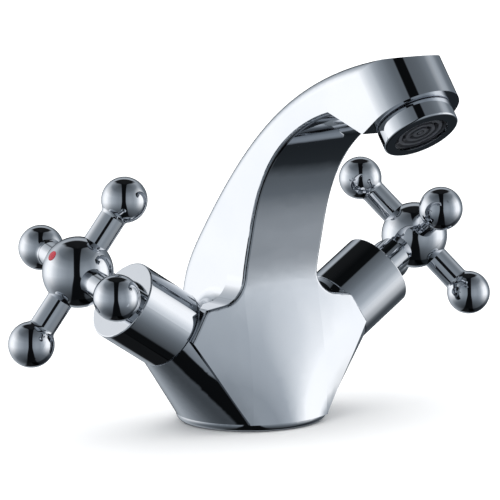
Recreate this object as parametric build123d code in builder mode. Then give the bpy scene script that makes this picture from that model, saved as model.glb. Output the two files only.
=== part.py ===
"""Two-handle bathroom basin mixer: a cast swan-neck body, two cross handles and an aerator.

Millimetres.  +Z is up from the deck, the spout points along -Y and the handles lie along X,
hot at -X and cold at +X.  The origin is the middle of the body's underside.  Both valves are
multi-turn compression headworks, drawn closed.
"""
import os
from math import cos, radians, sin

from build123d import *

# ---------------------------------------------------------------- driving dimensions
running_clearance = 0.05        # radial, between a shaft and its bore
seat_gap = 0.1                  # between fixed pieces that are screwed or pressed together
end_gap = 0.5                   # past the end of a shaft, thread or neck
past_body = 200.0               # reach of a cut that runs clear through the body

# body casting
base_radius = 26.0
base_round = 2.5
column_width = 31.0
column_back_round = 4.0
column_front_round = 1.2
valley_round = 5.0              # where the column's sides run into the arms

# front panel: a crowned face laid over the column and the arms
crown_width = 80.0
panel_depth = 8.0
panel_proud = 0.15              # of the base's rim, on the centre plane
panel_foot_width = 29.0
panel_corners = (-2.6, 9.0)     # on the arm's end face, from the valve axis towards the top
panel_top = 57.0
shoulder_height = 44.4
shoulder_round = 3.0
neck_round = 9.0

# valve axes: both start on the body's centre plane and rise outwards
valve_rise = 32.5
valve_foot_height = 12.1
valve_plane_y = -2.0
arm_end = 42.0
arm_radius = 13.75
arm_core_inset = 0.15

# spout nose, round about the outlet axis
nose_tilt = 36.5
nose_y = -87.5
nose_z = 109.4
nose_heel = 8.0

# waterways
inlet_spacing = 19.0
inlet_radius = 4.5
inlet_thread_depth = 10.0
inlet_bore_radius = 3.5
inlet_bore_depth = 18.0
stud_hole_radius = 3.4
stud_hole_depth = 13.0
stud_hole_y = 13.0
spout_bore_radius = 4.25
spout_bore_bend = 14.0
cross_bore_radius = 3.0
cross_bore_height = 32.5
cross_bore_reach = 18.0
seat_bore_radius = 5.0
seat_rim_radius = 6.5
seat_rim_height = 1.0
chamber_radius = 8.2
chamber_floor = 21.5
seal_groove_radius = 20.75
base_seal_thickness = 2.2

# headworks: thread_radius is the body's bore, and lengths run outwards along the valve axis
thread_radius = 10.4
thread_length = 15.0
flange_washer_thickness = 1.0
hex_across_flats = 20.5
hex_height = 7.5
gland_radius = 8.0
gland_height = 8.0
skirt_clearance = 0.6
skirt_headroom = 1.5
spindle_radius = 3.95
spindle_thread_radius = 3.0
spindle_collar_length = 1.9
spindle_collar_clearance = 0.4
spindle_stops_short = 5.0       # of the hub's middle
jumper_across_flats = 11.0
jumper_disc_radius = 6.2
jumper_disc_thickness = 2.5
jumper_length = 8.0
jumper_washer_radius = 6.0
jumper_washer_thickness = 3.0
jumper_screw_radius = 1.5
jumper_screw_depth = 2.0
jumper_screw_head_radius = 2.6
jumper_screw_head_height = 1.6
valve_lift = 4.5
o_ring_thickness = 1.5
o_ring_offsets = (-4.0, 1.0)    # from the top of the hexagon
circlip_thickness = 0.9
circlip_width = 2.0
circlip_groove_depth = 0.5
circlip_opening = 3.0
circlip_clearance = 0.3

# shrouds that cover the headworks
shroud_length = 22.0
shroud_wall = 1.5
shroud_end_wall = 2.0
shroud_sleeve_wall = 2.0        # sleeve that steadies the shroud on the gland
shroud_sleeve_start = 3.0       # above the hexagon
shroud_edge_round = 0.5

# cross handles
hub_distance = 84.3
hub_radius = 11.7
cross_radius = 28.0
ball_radius = 7.6
stem_radius = 4.4
stem_fillet = 1.5
handle_neck_radius = 6.1
handle_neck_overlap = 1.5       # inside the shroud's end wall
handle_turn = {"hot": -12.0, "cold": -31.5}
index_button_radius = 1.7
index_button_depth = 1.6
handle_screw_radius = 2.0
handle_screw_height = 3.5
handle_screw_recess = 0.3

# aerator
aerator_thread_radius = 10.9
aerator_thread_length = 7.0
aerator_collar_width = 1.5      # of the face that meets the nose
aerator_drop = 6.6
aerator_edge_round = 0.6
aerator_lip = 0.9
aerator_recess = 1.0
aerator_insert_radius = 9.8
aerator_insert_wall = 1.1
aerator_insert_setback = 1.0
aerator_ring_count = 4
aerator_spoke_count = 3         # each runs right across
aerator_grille_thickness = 1.6
aerator_screen_thickness = 0.6
screen_ring_count = 3
screen_ring_pitch = 2.2
screen_hole_radius = 0.5
aerator_washer_thickness = 1.5
aerator_washer_overlap = 1.5

# ---------------------------------------------------------------- planes and axes
outlet = Plane(origin=(0, nose_y, nose_z), x_dir=(1, 0, 0),
               z_dir=(0, -sin(radians(nose_tilt)), -cos(radians(nose_tilt))))
outlet_section = Plane(origin=outlet.origin, x_dir=(1, 0, 0), z_dir=outlet.y_dir)
outlet_axis = Axis(outlet.origin, outlet.z_dir)
valve_foot = Vector(0, valve_plane_y, valve_foot_height)
sides = {"hot": -1, "cold": 1}


def valve_direction(side):
    """Unit vector outwards along a valve axis."""
    return Vector(sides[side] * cos(radians(valve_rise)), 0, sin(radians(valve_rise)))


def valve_plane(side, along):
    """Plane square to a valve axis, that far out along it, with its local X towards the front."""
    outwards = valve_direction(side)
    return Plane(origin=valve_foot + outwards * along, x_dir=(0, -1, 0), z_dir=outwards)


def valve_section(side, turn=0):
    """Plane that holds a valve axis, with local X a radius turned from the front and local Y outwards."""
    across = valve_plane(side, 0)
    radius = across.x_dir * cos(radians(turn)) + across.y_dir * sin(radians(turn))
    return Plane(origin=valve_foot, x_dir=radius, z_dir=radius.cross(valve_direction(side)))


def save(part, name):
    """Label one finished piece and write its STEP file."""
    part.label = name
    os.makedirs("parts", exist_ok=True)
    export_step(part, f"parts/{name}.step")


# ---------------------------------------------------------------- body casting
# Front of the casting in the side view, as (y, z), on its centre plane and out at its edge,
# where the crowned front panel has fallen back.  The foot keeps its place at the base's rim,
# and above the neck the two outlines are the same.
base_front = -base_radius - panel_proud
under_spout = [(-20.4, 62), (-25.6, 79), (-36.5, 95), (-52.2, 105.3), (-65.5, 109.8)]
front_centre = [(base_front, base_round), (base_front + 1.75, 12), (base_front + 3.85, 24), (-20.3, 35),
                (-18.0, 49)] + under_spout
front_edge = [(base_front + 25.65, base_round), (base_front + 10.95, 12), (base_front + 8.55, 24),
              (-17.2, 35), (-16.8, 49)] + under_spout
# Back and top of the casting, from over the nose down to the base.
back_line = [(-110.0, 131.0), (-80.0, 127.0), (-55.0, 119.5), (-34.0, 108.5), (-17.0, 95), (-2.6, 80),
             (8.9, 66), (18.6, 50.8), (22.5, 25), (24.0, base_round)]
# Middle of the spout's waterway, from the mixing chamber to the aerator.
waterway = [(-1, cross_bore_height), (-1, 52), (-10.5, 73), (-21.5, 89), (-38, 104), (-58, 114),
            (-85, 116.5)]

heel = outlet.from_local_coords((0, -nose_heel, 0))
past_nose = outlet.from_local_coords((0, column_width, 0))
half_width = column_width / 2

with BuildPart() as blank:
    for x, front in ((-crown_width / 2, front_edge), (0, front_centre), (crown_width / 2, front_edge)):
        with BuildSketch(Plane(origin=(x, 0, 0), x_dir=(0, 1, 0), z_dir=(1, 0, 0))):
            with BuildLine():
                lower = Spline(front)
                Polyline(lower @ 1, (heel.Y, heel.Z), (past_nose.Y, past_nose.Z), back_line[0])
                upper = Spline(back_line)
                Line(upper @ 1, lower @ 0)
            make_face()
    loft()


def rim_point(offset):
    """Front-view (x, z) on the cold arm's end face, that far towards the top from the valve axis."""
    out = valve_direction("cold")
    point = valve_foot + out * arm_end + Vector(-out.Z, 0, out.X) * offset
    return (point.X, point.Z)


def side_edges(casting, point):
    """The edge of each flat side that passes through an outline point (y, z)."""
    return [casting.edges().sort_by_distance((x, *point))[0] for x in (-half_width, half_width)]


with BuildPart() as swan_neck:
    add(blank.part)
    with BuildSketch(Plane.XY):
        Rectangle(column_width, 2 * past_body)
    extrude(amount=past_body, mode=Mode.INTERSECT)
    fillet(side_edges(swan_neck, back_line[4]), column_back_round)
    # the nose is round about the outlet and runs smoothly into the flat sides
    with BuildSketch(outlet):
        Circle(half_width)
        with Locations((0, -past_body / 2)):
            Rectangle(column_width, past_body)
    extrude(amount=past_body, both=True, mode=Mode.INTERSECT)

with BuildPart() as front_panel:
    add(blank.part)
    with BuildSketch(Plane.XZ.offset(panel_depth)) as panel_view:
        with BuildLine():
            lower_corner, shoulder = (rim_point(offset) for offset in panel_corners)
            half = Polyline((0, 0), (panel_foot_width / 2, 0), lower_corner, shoulder,
                            (half_width, shoulder_height), (half_width, panel_top), (0, panel_top))
            mirror(half, about=Plane.YZ)
        make_face()
        for height, radius in ((shoulder_height, neck_round), (shoulder[1], shoulder_round)):
            corners = panel_view.vertices().filter_by(lambda corner: abs(corner.Y - height) < 0.01)
            fillet(corners, radius)
    extrude(amount=past_body, mode=Mode.INTERSECT)

# Both arms with the round foot: one arm swept in from its valve end, cut at the middle and mirrored.
with BuildPart() as arms:
    with BuildSketch(Plane(origin=(0, 0, base_round), x_dir=(0, -1, 0), z_dir=(0, 0, 1))):
        Circle(base_radius)
    with BuildSketch(valve_plane("cold", arm_end)):
        Circle(arm_radius)
    loft(ruled=True)
    # a straight core, so that the swept arm keeps its wall round the valve chamber
    with BuildSketch(valve_plane("cold", arm_end)):
        Circle(arm_radius - arm_core_inset)
    extrude(amount=chamber_floor - arm_end)
    with BuildSketch(Plane.XZ):
        with BuildLine():
            foot = Polyline((base_radius - base_round, 0), (0, 0), (0, base_round), (base_radius, base_round))
            TangentArc(foot @ 1, foot @ 0, tangent=(0, -1))
        make_face()
    revolve(axis=Axis.Z)
    split(bisect_by=Plane.YZ, keep=Keep.TOP)
    mirror(about=Plane.YZ)

with BuildPart() as faucet_body:
    add(swan_neck.part)
    add(arms.part)
    valleys = faucet_body.edges().filter_by(GeomType.ELLIPSE)
    fillet(valleys.filter_by(lambda edge: abs(abs(edge.center().X) - half_width) < 0.01), valley_round)
    add(front_panel.part)
    # the round runs on by itself from the neck along the whole front outline
    fillet(side_edges(faucet_body, under_spout[1]), column_front_round)
    # waterways
    for side in sides:
        with BuildSketch(valve_plane(side, arm_end)):
            Circle(thread_radius)
        extrude(amount=-thread_length, mode=Mode.SUBTRACT)
        with BuildSketch(valve_plane(side, chamber_floor)):
            Circle(chamber_radius)
        extrude(amount=arm_end - thread_length - chamber_floor, mode=Mode.SUBTRACT)
        with BuildSketch(valve_plane(side, chamber_floor)):
            Circle(seat_rim_radius)
        extrude(amount=seat_rim_height)
        with BuildSketch(valve_plane(side, chamber_floor + seat_rim_height)):
            Circle(seat_bore_radius)
        extrude(amount=-chamber_floor / 2, mode=Mode.SUBTRACT)
        for radius, depth in ((inlet_radius, inlet_thread_depth), (inlet_bore_radius, inlet_bore_depth)):
            with BuildSketch(Plane.XY):
                with Locations((sides[side] * inlet_spacing / 2, 0)):
                    Circle(radius)
            extrude(amount=depth, mode=Mode.SUBTRACT)
    with BuildSketch(Plane(origin=(0, valve_plane_y, cross_bore_height), x_dir=(0, 1, 0), z_dir=(1, 0, 0))):
        Circle(cross_bore_radius)
    extrude(amount=cross_bore_reach, both=True, mode=Mode.SUBTRACT)
    with BuildLine(Plane.YZ) as route:
        FilletPolyline(waterway, radius=spout_bore_bend)
    with BuildSketch(Plane(origin=route.line @ 0, z_dir=route.line % 0)):
        Circle(spout_bore_radius)
    sweep(path=route.line, mode=Mode.SUBTRACT)
    with BuildSketch(outlet):
        Circle(aerator_thread_radius + seat_gap)
    extrude(amount=-aerator_thread_length - aerator_washer_thickness, mode=Mode.SUBTRACT)
    # underside: fixing stud and seal groove
    with BuildSketch(Plane.XY):
        with Locations((0, stud_hole_y)):
            Circle(stud_hole_radius)
    extrude(amount=stud_hole_depth, mode=Mode.SUBTRACT)
    with BuildSketch(Plane.XY):
        Circle(seal_groove_radius + base_seal_thickness / 2)
        Circle(seal_groove_radius - base_seal_thickness / 2, mode=Mode.SUBTRACT)
    extrude(amount=base_seal_thickness, mode=Mode.SUBTRACT)
save(faucet_body.part, "faucet_body")

# ---------------------------------------------------------------- base seal
with BuildPart() as base_seal:
    with BuildSketch(Plane.XZ):
        with Locations((seal_groove_radius, base_seal_thickness / 2)):
            Circle(base_seal_thickness / 2 - running_clearance)
    revolve(axis=Axis.Z)
save(base_seal.part, "base_seal")

# ---------------------------------------------------------------- aerator
# In the section plane local X is the radius and local Y is the depth into the nose, so what
# hangs below the nose has a negative Y.  outlet.offset(d) lies a distance d below the nose.
collar_rim = aerator_thread_radius + aerator_collar_width
insert_face = aerator_drop - aerator_recess
insert_top = aerator_thread_length - aerator_insert_setback
insert_bore = aerator_insert_radius - aerator_insert_wall

with BuildPart() as aerator_housing:
    with BuildSketch(outlet_section):
        with BuildLine():
            Polyline((aerator_insert_radius + seat_gap, aerator_thread_length),
                     (aerator_thread_radius, aerator_thread_length),
                     (aerator_thread_radius, -seat_gap),
                     (collar_rim, -seat_gap),
                     (collar_rim, -aerator_drop),
                     (aerator_insert_radius - aerator_lip, -aerator_drop),
                     (aerator_insert_radius - aerator_lip, -insert_face - seat_gap),
                     (aerator_insert_radius + seat_gap, -insert_face - seat_gap),
                     close=True)
        make_face()
    revolve(axis=outlet_axis)
    collar_edges = aerator_housing.edges().filter_by(GeomType.CIRCLE).group_by(SortBy.RADIUS)[-1]
    fillet(collar_edges, aerator_edge_round)
save(aerator_housing.part, "aerator_housing")

with BuildPart() as aerator_insert:
    with BuildSketch(outlet.offset(-insert_top)):
        Circle(aerator_insert_radius)
        Circle(insert_bore, mode=Mode.SUBTRACT)
    extrude(amount=insert_top + insert_face)
    ring_pitch = aerator_insert_radius / aerator_ring_count
    with BuildSketch(outlet.offset(insert_face - aerator_grille_thickness)):
        for ring in range(aerator_ring_count, 0, -1):
            Circle(ring_pitch * ring)
            Circle(ring_pitch * ring - aerator_insert_wall, mode=Mode.SUBTRACT)
        Circle(ring_pitch / 3)
    extrude(amount=aerator_grille_thickness)
    with BuildSketch(outlet.offset(insert_face - aerator_grille_thickness)):
        with PolarLocations(0, aerator_spoke_count, angular_range=180):
            Rectangle(2 * insert_bore + aerator_insert_wall, aerator_insert_wall)
    extrude(amount=aerator_grille_thickness / 2)
save(aerator_insert.part, "aerator_insert")

with BuildPart() as aerator_screen:
    with BuildSketch(outlet.offset(insert_face - aerator_grille_thickness - aerator_screen_thickness)):
        Circle(insert_bore - seat_gap)
        for ring in range(1, screen_ring_count + 1):
            with PolarLocations(ring * screen_ring_pitch, 6 * ring):
                Circle(screen_hole_radius, mode=Mode.SUBTRACT)
    extrude(amount=aerator_screen_thickness)
save(aerator_screen.part, "aerator_screen")

with BuildPart() as aerator_washer:
    with BuildSketch(outlet.offset(-aerator_thread_length)):
        Circle(aerator_thread_radius - seat_gap)
        Circle(insert_bore - aerator_washer_overlap, mode=Mode.SUBTRACT)
    extrude(amount=seat_gap - aerator_washer_thickness)
save(aerator_washer.part, "aerator_washer")

# ---------------------------------------------------------------- valves, hot and cold
# Distances are measured outwards along the valve axis from its foot.  The valves are shut:
# each jumper's washer sits on its seat.
seat = chamber_floor + seat_rim_height
thread_end = arm_end - thread_length + end_gap
flange = arm_end + flange_washer_thickness
gland_base = flange + hex_height
gland_end = gland_base + gland_height
jumper_washer_end = seat + jumper_washer_thickness
jumper_disc_end = jumper_washer_end + jumper_disc_thickness
jumper_end = jumper_disc_end + jumper_length
skirt_bore = jumper_disc_radius + skirt_clearance
skirt_end = jumper_disc_end + valve_lift + skirt_headroom
collar_radius = jumper_across_flats / 2 - spindle_collar_clearance
collar_base = jumper_end + valve_lift + end_gap
collar_end = collar_base + spindle_collar_length
guide_end = collar_end + seat_gap
spindle_tip = jumper_disc_end + valve_lift + end_gap
spindle_end = hub_distance - spindle_stops_short
circlip_base = gland_end + circlip_clearance
shroud_base = arm_end + seat_gap
shroud_end = shroud_base + shroud_length
shroud_bore = arm_radius - shroud_wall
shroud_hole = handle_neck_radius + end_gap
shroud_ceiling = shroud_end - shroud_end_wall
sleeve_base = gland_base + shroud_sleeve_start
sleeve_bore = gland_radius + running_clearance
handle_neck_end = shroud_end - handle_neck_overlap
screw_place = shroud_end + handle_screw_height
o_ring_places = [gland_base + offset for offset in o_ring_offsets]
bore_radius = spindle_radius + running_clearance
button_base = hub_distance + hub_radius - index_button_depth


def button_dome(radius):
    """Height of the index button's domed top, which follows the hub."""
    return hub_distance + ((hub_radius + seat_gap) ** 2 - radius ** 2) ** 0.5


# One arm of a cross handle lies along X from the hub's middle: a stem that flares into a ball.
with BuildPart() as handle_arm:
    with BuildSketch(Plane.XY) as arm_view:
        with Locations((cross_radius / 2, 0)):
            Rectangle(cross_radius, 2 * stem_radius)
        with Locations((cross_radius, 0)):
            Circle(ball_radius)
        fillet(arm_view.vertices().group_by(Axis.X)[-1], stem_fillet)
        with Locations((cross_radius, -ball_radius)):
            Rectangle(4 * cross_radius, 2 * ball_radius, mode=Mode.SUBTRACT)
    revolve(axis=Axis.X)

for side in sides:
    section = valve_section(side)
    axis = Axis(valve_foot, valve_direction(side))
    screw_plane = Plane(origin=valve_plane(side, screw_place).origin, z_dir=(0, 1, 0))

    with BuildPart() as headwork_body:
        with BuildSketch(section):
            with BuildLine():
                Polyline((skirt_bore, thread_end), (thread_radius - seat_gap, thread_end),
                         (thread_radius - seat_gap, flange), (gland_radius, flange),
                         (gland_radius, gland_end), (bore_radius, gland_end),
                         (bore_radius, skirt_end), (skirt_bore, skirt_end), close=True)
            make_face()
        revolve(axis=axis)
        with BuildSketch(valve_plane(side, flange)):
            RegularPolygon(hex_across_flats / 2, 6, major_radius=False)
            Circle((gland_radius + bore_radius) / 2, mode=Mode.SUBTRACT)
        extrude(amount=hex_height)
        with BuildSketch(valve_plane(side, skirt_end)):
            RegularPolygon(jumper_across_flats / 2 + seat_gap, 6, major_radius=False)
        extrude(amount=guide_end - skirt_end, mode=Mode.SUBTRACT)
    save(headwork_body.part, f"headwork_body_{side}")

    with BuildPart() as headwork_washer:
        with BuildSketch(valve_plane(side, arm_end)):
            Circle(shroud_bore - seat_gap)
            Circle(thread_radius - seat_gap / 2, mode=Mode.SUBTRACT)
        extrude(amount=flange_washer_thickness)
    save(headwork_washer.part, f"headwork_washer_{side}")

    with BuildPart() as spindle:
        with BuildSketch(section):
            with BuildLine():
                Polyline((0, spindle_tip), (spindle_thread_radius, spindle_tip),
                         (spindle_thread_radius, collar_base), (collar_radius, collar_base),
                         (collar_radius, collar_end), (spindle_radius, collar_end),
                         (spindle_radius, spindle_end),
                         (0, spindle_end), close=True)
            make_face()
        revolve(axis=axis)
        with BuildSketch(section):
            for place in o_ring_places:
                with Locations((spindle_radius, place)):
                    Rectangle(2 * o_ring_thickness, o_ring_thickness + seat_gap)
            with Locations((spindle_radius, circlip_base + circlip_thickness / 2)):
                Rectangle(2 * circlip_groove_depth, circlip_thickness + seat_gap)
        revolve(axis=axis, mode=Mode.SUBTRACT)
    save(spindle.part, f"spindle_{side}")

    with BuildPart() as spindle_o_rings:
        with BuildSketch(section):
            for place in o_ring_places:
                with Locations((spindle_radius - o_ring_thickness / 2, place)):
                    Circle(o_ring_thickness / 2)
        revolve(axis=axis)
    save(spindle_o_rings.part, f"spindle_o_rings_{side}")

    with BuildPart() as spindle_circlip:
        with BuildSketch(valve_plane(side, circlip_base)):
            Circle(spindle_radius + circlip_width)
            Circle(spindle_radius - circlip_groove_depth + running_clearance, mode=Mode.SUBTRACT)
            with Locations((spindle_radius, 0)):
                Rectangle(3 * circlip_width, circlip_opening, mode=Mode.SUBTRACT)
        extrude(amount=circlip_thickness)
    save(spindle_circlip.part, f"spindle_circlip_{side}")

    with BuildPart() as jumper:
        with BuildSketch(valve_plane(side, jumper_washer_end)):
            Circle(jumper_disc_radius)
        extrude(amount=jumper_disc_thickness)
        with BuildSketch(valve_plane(side, jumper_disc_end)):
            RegularPolygon(jumper_across_flats / 2, 6, major_radius=False)
        extrude(amount=jumper_length)
        with BuildSketch(valve_plane(side, jumper_end)):
            Circle(spindle_thread_radius + running_clearance)
        extrude(amount=-jumper_length, mode=Mode.SUBTRACT)
        with BuildSketch(valve_plane(side, jumper_washer_end)):
            Circle(jumper_screw_radius)
        extrude(amount=jumper_screw_depth, mode=Mode.SUBTRACT)
    save(jumper.part, f"jumper_{side}")

    with BuildPart() as jumper_washer:
        with BuildSketch(valve_plane(side, seat)):
            Circle(jumper_washer_radius)
            Circle(jumper_screw_radius, mode=Mode.SUBTRACT)
        extrude(amount=jumper_washer_thickness)
    save(jumper_washer.part, f"jumper_washer_{side}")

    with BuildPart() as jumper_screw:
        with BuildSketch(section):
            with BuildLine():
                shank = jumper_screw_radius - running_clearance
                screw_end = jumper_washer_end + jumper_screw_depth - seat_gap
                head_base = seat - jumper_screw_head_height
                Polyline((0, head_base), (jumper_screw_head_radius, head_base),
                         (jumper_screw_head_radius, seat), (shank, seat),
                         (shank, screw_end), (0, screw_end), close=True)
            make_face()
        revolve(axis=axis)
    save(jumper_screw.part, f"jumper_screw_{side}")

    with BuildPart() as bonnet_shroud:
        with BuildSketch(section):
            with BuildLine():
                Polyline((shroud_bore, shroud_base), (arm_radius, shroud_base),
                         (arm_radius, shroud_end), (shroud_hole, shroud_end),
                         (shroud_hole, shroud_ceiling), (sleeve_bore, shroud_ceiling),
                         (sleeve_bore, sleeve_base), (sleeve_bore + shroud_sleeve_wall, sleeve_base),
                         (sleeve_bore + shroud_sleeve_wall, shroud_ceiling),
                         (shroud_bore, shroud_ceiling), close=True)
            make_face()
        revolve(axis=axis)
        outer_edges = bonnet_shroud.edges().filter_by(GeomType.CIRCLE).group_by(SortBy.RADIUS)[-1]
        fillet(outer_edges, shroud_edge_round)
    save(bonnet_shroud.part, f"bonnet_shroud_{side}")

    # The hub's seam lies between two arms, so that no arm crosses it.
    with BuildPart() as cross_handle:
        with BuildSketch(valve_section(side, handle_turn[side] + 45)):
            with BuildLine():
                neck_top = hub_distance - (hub_radius ** 2 - handle_neck_radius ** 2) ** 0.5
                neck = Polyline((0, handle_neck_end), (handle_neck_radius, handle_neck_end),
                                (handle_neck_radius, neck_top))
                dome = ThreePointArc(neck @ 1, (hub_radius, hub_distance), (0, hub_distance + hub_radius))
                Line(dome @ 1, neck @ 0)
            make_face()
        revolve(axis=axis)
        with Locations(valve_plane(side, hub_distance)):
            with PolarLocations(0, 4, start_angle=handle_turn[side]):
                add(handle_arm.part)
        with BuildSketch(valve_plane(side, handle_neck_end)):
            Circle(bore_radius)
        extrude(amount=spindle_end + end_gap - handle_neck_end, mode=Mode.SUBTRACT)
        with BuildSketch(valve_plane(side, button_base)):
            Circle(index_button_radius + running_clearance)
        extrude(amount=2 * index_button_depth, mode=Mode.SUBTRACT)
        with BuildSketch(screw_plane):
            Circle(handle_screw_radius)
        extrude(amount=2 * handle_neck_radius, mode=Mode.SUBTRACT)
    save(cross_handle.part, f"cross_handle_{side}")

    with BuildPart() as handle_screw:
        with BuildSketch(screw_plane.offset(spindle_radius)):
            Circle(handle_screw_radius - running_clearance)
        extrude(amount=handle_neck_radius - spindle_radius - handle_screw_recess)
    save(handle_screw.part, f"handle_screw_{side}")

    with BuildPart() as index_button:
        with BuildSketch(section):
            with BuildLine():
                button = Polyline((0, button_base), (index_button_radius, button_base),
                                  (index_button_radius, button_dome(index_button_radius)))
                midway = index_button_radius / 2
                top = ThreePointArc(button @ 1, (midway, button_dome(midway)), (0, button_dome(0)))
                Line(top @ 1, button @ 0)
            make_face()
        revolve(axis=axis)
    save(index_button.part, f"index_button_{side}")
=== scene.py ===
"""Studio picture of the two-handle basin mixer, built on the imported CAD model.

Metres, in the CAD's own frame: +Z up, the spout towards -Y, the handles along X.
"""
from math import cos, radians, sin

import bpy
from mathutils import Matrix, Vector


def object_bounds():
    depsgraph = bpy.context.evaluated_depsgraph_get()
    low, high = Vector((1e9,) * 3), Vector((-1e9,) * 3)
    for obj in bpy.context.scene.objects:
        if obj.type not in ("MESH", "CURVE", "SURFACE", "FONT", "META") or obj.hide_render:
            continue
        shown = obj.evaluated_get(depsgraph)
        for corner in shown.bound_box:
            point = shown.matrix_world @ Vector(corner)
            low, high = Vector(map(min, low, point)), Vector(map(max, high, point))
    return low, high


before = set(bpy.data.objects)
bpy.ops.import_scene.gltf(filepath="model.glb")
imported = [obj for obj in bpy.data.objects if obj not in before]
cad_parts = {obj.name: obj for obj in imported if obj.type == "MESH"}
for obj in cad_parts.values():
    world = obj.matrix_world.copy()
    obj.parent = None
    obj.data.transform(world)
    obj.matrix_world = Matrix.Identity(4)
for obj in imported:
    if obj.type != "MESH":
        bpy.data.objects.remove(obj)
cad_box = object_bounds()
scene = bpy.context.scene
scene.view_settings.view_transform = "Standard"

# ---------------------------------------------------------------- camera
camera_azimuth = radians(-36.24)
camera_elevation = radians(7.92)
camera_roll = radians(-0.5)
camera_distance = 0.9515
camera_target = Vector((0, 0, 0.0581))
camera_lens = 200.6


def direction(azimuth, elevation):
    """Unit vector from the object towards a viewer: azimuth 0 stands at -Y and 90 at +X."""
    level = cos(elevation)
    return Vector((sin(azimuth) * level, -cos(azimuth) * level, sin(elevation)))


def add_camera():
    """Camera at the reference angle, with a slight roll."""
    data = bpy.data.cameras.new("camera")
    data.sensor_width = 36
    data.lens = camera_lens
    data.clip_start = 0.05
    data.clip_end = 50
    camera = bpy.data.objects.new("camera", data)
    scene.collection.objects.link(camera)
    back = direction(camera_azimuth, camera_elevation)
    right = Vector((0, 0, 1)).cross(back).normalized()
    up = back.cross(right)
    turn = Matrix.Rotation(camera_roll, 3, back)
    axes = Matrix((turn @ right, turn @ up, back)).transposed()
    camera.matrix_world = Matrix.Translation(camera_target + back * camera_distance) @ axes.to_4x4()
    scene.camera = camera


add_camera()

# ---------------------------------------------------------------- node helpers


def link(tree, source, target):
    """Wire one node's output to another's input."""
    tree.links.new(source, target)


def maths(tree, operation, *values):
    """Math node whose inputs are numbers or sockets."""
    node = tree.nodes.new("ShaderNodeMath")
    node.operation = operation
    for socket, value in zip(node.inputs, values):
        if isinstance(value, (int, float)):
            socket.default_value = value
        else:
            link(tree, value, socket)
    return node.outputs[0]


def dot(tree, vector, axis):
    """Length of a vector along a fixed axis."""
    node = tree.nodes.new("ShaderNodeVectorMath")
    node.operation = "DOT_PRODUCT"
    link(tree, vector, node.inputs[0])
    node.inputs[1].default_value = axis
    return node.outputs["Value"]


def ramp(tree, factor, stops):
    """Colour ramp through (position, colour) stops."""
    node = tree.nodes.new("ShaderNodeValToRGB")
    elements = node.color_ramp.elements
    while len(elements) < len(stops):
        elements.new(0.5)
    for element, (position, colour) in zip(elements, stops):
        element.position = position
        element.color = (*colour, 1)
    link(tree, factor, node.inputs["Fac"])
    return node.outputs["Color"]


def smooth_step(tree, value, none_at, full_at):
    """0 where the value is at or beyond none_at, 1 at or beyond full_at, and smooth between."""
    node = tree.nodes.new("ShaderNodeMapRange")
    node.interpolation_type = "SMOOTHSTEP"
    node.inputs["From Min"].default_value = none_at
    node.inputs["From Max"].default_value = full_at
    link(tree, value, node.inputs["Value"])
    return node.outputs["Result"]


# ---------------------------------------------------------------- studio
chrome_reflectance = 0.64
display_gamma = 2.2
coolness = 0.22                 # how far dark greys lean to blue


def shade(display):
    """Light that bright chrome shows as this grey of 0 to 255, cooler the darker it is."""
    linear = (display / 255) ** display_gamma / chrome_reflectance
    cool = coolness * (1 - display / 255)
    return (linear * (1 - cool), linear, linear * (1 + cool))


# Brightness by degrees to the right of the camera.  At eye level a large softbox stands on each
# side; above and below them the walls are plain grey, darkest low down behind on the right.
softboxes = [(-180, 90), (-166, 110), (-144, 190), (-128, 236), (-112, 255), (-96, 250), (-80, 212),
             (-64, 176), (-48, 155), (-30, 136), (0, 125), (30, 146), (48, 143), (64, 168), (76, 214),
             (86, 250), (108, 255), (120, 190), (134, 112), (150, 105), (166, 100), (180, 90)]
walls_above = [(-180, 190), (-140, 175), (-110, 140), (-70, 118), (-30, 112), (30, 118), (70, 124),
               (110, 140), (140, 175), (180, 190)]
walls_below = [(-180, 170), (-140, 155), (-110, 124), (-70, 114), (-30, 112), (30, 118), (70, 124),
               (104, 118), (120, 60), (160, 45), (172, 120), (180, 170)]
# Here a level is a height on the studio's sphere: 0 straight down, 0.5 at the horizon, 1 overhead.
softbox_reach = [(0, 0), (0.16, 0), (0.24, 0.18), (0.33, 0.6), (0.42, 1), (0.65, 1), (0.74, 0.55),
                 (0.86, 0), (1, 0)]
wall_fall = [(0, 0.12), (0.06, 0.35), (0.25, 0.85), (0.5, 1), (0.8, 0.88), (0.95, 0.5), (1, 0.3)]
wall_change = (0.4, 0.5)        # levels between which the lower walls give way to the upper

# A dark gap between the softboxes runs from under the camera up over the object.  Its half widths
# and its ends are parts of the sphere's radius, sideways and towards the camera.
gap_above = 0.17
gap_below = 0.26
gap_behind = 0.42
gap_edge = (0.85, 1.15)         # soft edge, in half widths
gap_lowers = (0.5, 0.1)         # levels from which it widens downwards
gap_rises = (0.6, 0.85)         # levels from which it widens overhead
gap_turns_back = (0.05, -0.35)
gap_ends = (-0.6, -0.72)
patch_edge = (-0.99, -0.91)     # dark patch straight behind the object
unlit = 0.02                    # what is left of the light where it is dark


def by_azimuth(tree, turn, table):
    """Colour from a table of brightness by degrees, where turn goes once round from 0 to 1."""
    return ramp(tree, turn, [((angle + 180) / 360, shade(display)) for angle, display in table])


def mix_colours(tree, factor, first, second):
    """The first colour where the factor is 0, and the second where it is 1."""
    node = tree.nodes.new("ShaderNodeMix")
    node.data_type = "RGBA"
    link(tree, factor, node.inputs["Factor"])
    link(tree, first, node.inputs["A"])
    link(tree, second, node.inputs["B"])
    return node.outputs["Result"]


def grey_ramp(tree, factor, stops):
    """Strength through (position, value) stops."""
    return ramp(tree, factor, [(place, (value,) * 3) for place, value in stops])


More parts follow.
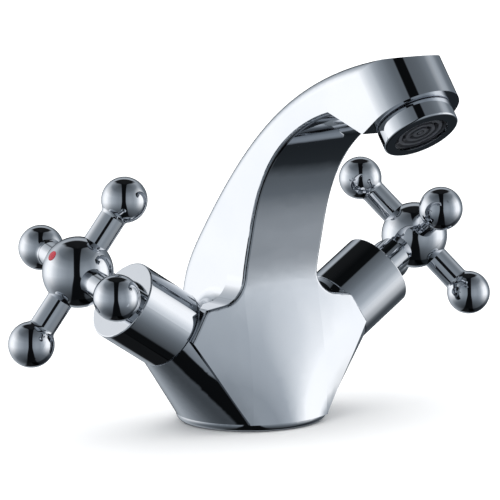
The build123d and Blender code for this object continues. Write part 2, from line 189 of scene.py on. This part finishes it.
def studio_colour(tree, level, turn):
    """The softboxes in front of the walls."""
    walls = mix_colours(tree, smooth_step(tree, level, *wall_change),
                        by_azimuth(tree, turn, walls_below), by_azimuth(tree, turn, walls_above))
    reach = grey_ramp(tree, level, softbox_reach)
    return mix_colours(tree, reach, walls, by_azimuth(tree, turn, softboxes))


def studio_strength(tree, level, forward, sideways):
    """Falls off towards top and bottom, and is almost nothing in the gap and the patch behind."""
    low = smooth_step(tree, level, *gap_lowers)
    half_width = maths(tree, "MULTIPLY_ADD", low, gap_below - gap_above, gap_above)
    back = smooth_step(tree, forward, *gap_turns_back)
    over = maths(tree, "MULTIPLY", back, smooth_step(tree, level, *gap_rises))
    half_width = maths(tree, "MULTIPLY_ADD", over, gap_behind - gap_above, half_width)
    beside = maths(tree, "DIVIDE", maths(tree, "ABSOLUTE", sideways), half_width)
    past_end = smooth_step(tree, forward, *gap_ends)
    off_gap = maths(tree, "MAXIMUM", smooth_step(tree, beside, *gap_edge), past_end)
    off_patch = smooth_step(tree, forward, *patch_edge)
    lit = maths(tree, "MULTIPLY", off_gap, off_patch)
    lit = maths(tree, "MULTIPLY", lit, grey_ramp(tree, level, wall_fall))
    return maths(tree, "MAXIMUM", lit, unlit)


def add_world():
    """Studio as light from every direction; the camera itself sees plain white."""
    world = bpy.data.worlds.new("studio")
    scene.world = world
    world.use_nodes = True
    tree = world.node_tree
    tree.nodes.clear()
    where = tree.nodes.new("ShaderNodeTexCoord").outputs["Generated"]
    forward = dot(tree, where, direction(camera_azimuth, 0))
    sideways = dot(tree, where, direction(camera_azimuth + radians(90), 0))
    level = maths(tree, "MULTIPLY_ADD", dot(tree, where, (0, 0, 1)), 0.5, 0.5)
    angle = maths(tree, "ARCTAN2", sideways, forward)
    turn = maths(tree, "MULTIPLY_ADD", angle, 1 / radians(360), 0.5)
    studio = tree.nodes.new("ShaderNodeBackground")
    link(tree, studio_colour(tree, level, turn), studio.inputs["Color"])
    link(tree, studio_strength(tree, level, forward, sideways), studio.inputs["Strength"])
    backdrop = tree.nodes.new("ShaderNodeBackground")
    backdrop.inputs["Color"].default_value = (1, 1, 1, 1)
    mix = tree.nodes.new("ShaderNodeMixShader")
    link(tree, tree.nodes.new("ShaderNodeLightPath").outputs["Is Camera Ray"], mix.inputs[0])
    link(tree, studio.outputs[0], mix.inputs[1])
    link(tree, backdrop.outputs[0], mix.inputs[2])
    out = tree.nodes.new("ShaderNodeOutputWorld")
    link(tree, mix.outputs[0], out.inputs[0])


add_world()

floor_half_side = 4.0
floor_drop = 0.0002             # below the object, so that their faces don't meet
floor_grey = 0.7
floor_roughness = 0.9
overhead_spread = radians(120)
overhead_energy = 5.5


def add_floor():
    """Plain pale floor, which the chrome doesn't reflect."""
    corners = [(x * floor_half_side, y * floor_half_side, 0)
               for x, y in ((-1, -1), (1, -1), (1, 1), (-1, 1))]
    mesh = bpy.data.meshes.new("floor")
    mesh.from_pydata(corners, [], [(0, 1, 2, 3)])
    floor = bpy.data.objects.new("floor", mesh)
    floor.location.z = cad_box[0].z - floor_drop
    floor.visible_glossy = False
    scene.collection.objects.link(floor)
    material = bpy.data.materials.new("floor")
    material.use_nodes = True
    shader = material.node_tree.nodes["Principled BSDF"]
    shader.inputs["Base Color"].default_value = (floor_grey, floor_grey, floor_grey, 1)
    shader.inputs["Roughness"].default_value = floor_roughness
    mesh.materials.append(material)


def add_overhead():
    """Broad soft light from above, which whitens the floor and stays out of the chrome."""
    light = bpy.data.lights.new("overhead", "SUN")
    light.angle = overhead_spread
    light.energy = overhead_energy
    lamp = bpy.data.objects.new("overhead", light)
    lamp.visible_glossy = False
    scene.collection.objects.link(lamp)


add_floor()
add_overhead()

# ---------------------------------------------------------------- materials


def new_material(name):
    """A material, its node tree and its shader."""
    material = bpy.data.materials.new(name)
    material.use_nodes = True
    return material, material.node_tree, material.node_tree.nodes["Principled BSDF"]


def noise(tree, scale, detail=2.0):
    """Noise over object coordinates, in cycles per metre."""
    place = tree.nodes.new("ShaderNodeTexCoord").outputs["Object"]
    node = tree.nodes.new("ShaderNodeTexNoise")
    node.inputs["Scale"].default_value = scale
    node.inputs["Detail"].default_value = detail
    link(tree, place, node.inputs["Vector"])
    return node.outputs["Fac"]


def scaled(tree, value, low, high):
    """A value of 0 to 1 stretched between two others."""
    node = tree.nodes.new("ShaderNodeMapRange")
    node.inputs["To Min"].default_value = low
    node.inputs["To Max"].default_value = high
    link(tree, value, node.inputs["Value"])
    return node.outputs["Result"]


def vary_surface(tree, shader, dark, bright, tone_noise, smooth, rough, rough_scale):
    """Noise moves the colour from dark to bright, and the roughness from smooth to rough."""
    tone = ramp(tree, tone_noise, [(tone_start, dark), (tone_end, bright)])
    link(tree, tone, shader.inputs["Base Color"])
    link(tree, scaled(tree, noise(tree, rough_scale), smooth, rough), shader.inputs["Roughness"])


def bump(tree, shader, scale, depth):
    """Slight unevenness of the surface, to that depth in metres."""
    node = tree.nodes.new("ShaderNodeBump")
    node.inputs["Distance"].default_value = depth
    link(tree, noise(tree, scale), node.inputs["Height"])
    link(tree, node.outputs["Normal"], shader.inputs["Normal"])


tone_start = 0.3
tone_end = 0.7
plate_dark = (0.60, 0.625, 0.665)
plate_bright = (0.64, 0.66, 0.69)
grain_scale = 300
grain_depth = 0.00002
grain_shadow = 0.75             # darkest tone of a plain surface, as a part of its colour


def chrome(name, waviness, wave_scale):
    """Bright plate: the metal under it sets how wavy the reflections are."""
    material, tree, shader = new_material(name)
    shader.inputs["Metallic"].default_value = 1.0
    vary_surface(tree, shader, plate_dark, plate_bright, noise(tree, 35, 3), 0.02, 0.055, 90)
    bump(tree, shader, wave_scale, waviness)
    return material


def plain(name, colour, metallic, smooth, rough):
    """Uncoated metal, rubber, fibre or plastic with a fine grain."""
    material, tree, shader = new_material(name)
    shader.inputs["Metallic"].default_value = metallic
    dark = tuple(grain_shadow * channel for channel in colour)
    vary_surface(tree, shader, dark, colour, noise(tree, grain_scale, 4), smooth, rough, grain_scale)
    bump(tree, shader, 4 * grain_scale, grain_depth)
    return material


materials = {
    "cast_chrome": chrome("cast_chrome", 0.00012, 14),
    "moulded_chrome": chrome("moulded_chrome", 0.00004, 45),
    "turned_chrome": chrome("turned_chrome", 0.00002, 60),
    "brass": plain("brass", (0.75, 0.55, 0.25), 1, 0.25, 0.4),
    "rubber": plain("rubber", (0.02, 0.02, 0.022), 0, 0.6, 0.8),
    "fibre": plain("fibre", (0.35, 0.05, 0.03), 0, 0.7, 0.9),
    "steel": plain("steel", (0.6, 0.6, 0.6), 1, 0.15, 0.3),
    "grey_plastic": plain("grey_plastic", (0.05, 0.055, 0.065), 0, 0.35, 0.5),
    "red_plastic": plain("red_plastic", (0.33, 0.006, 0.02), 0, 0.2, 0.3),
    "blue_plastic": plain("blue_plastic", (0.01, 0.05, 0.5), 0, 0.2, 0.3),
}

# by piece, without the side of a piece that comes in a hot and a cold one
finishes = {
    "faucet_body": "cast_chrome", "base_seal": "rubber", "aerator_housing": "turned_chrome",
    "aerator_insert": "grey_plastic", "aerator_screen": "steel", "aerator_washer": "rubber",
    "headwork_body": "brass", "headwork_washer": "fibre", "spindle": "brass",
    "spindle_o_rings": "rubber", "spindle_circlip": "steel", "jumper": "brass",
    "jumper_washer": "rubber", "jumper_screw": "steel", "bonnet_shroud": "turned_chrome",
    "cross_handle": "moulded_chrome", "handle_screw": "steel",
    "index_button_hot": "red_plastic", "index_button_cold": "blue_plastic",
}
for name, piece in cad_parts.items():
    plain_name = name.removesuffix("_hot").removesuffix("_cold")
    material = materials[finishes.get(name) or finishes[plain_name]]
    for place in piece.material_slots:
        place.material = material
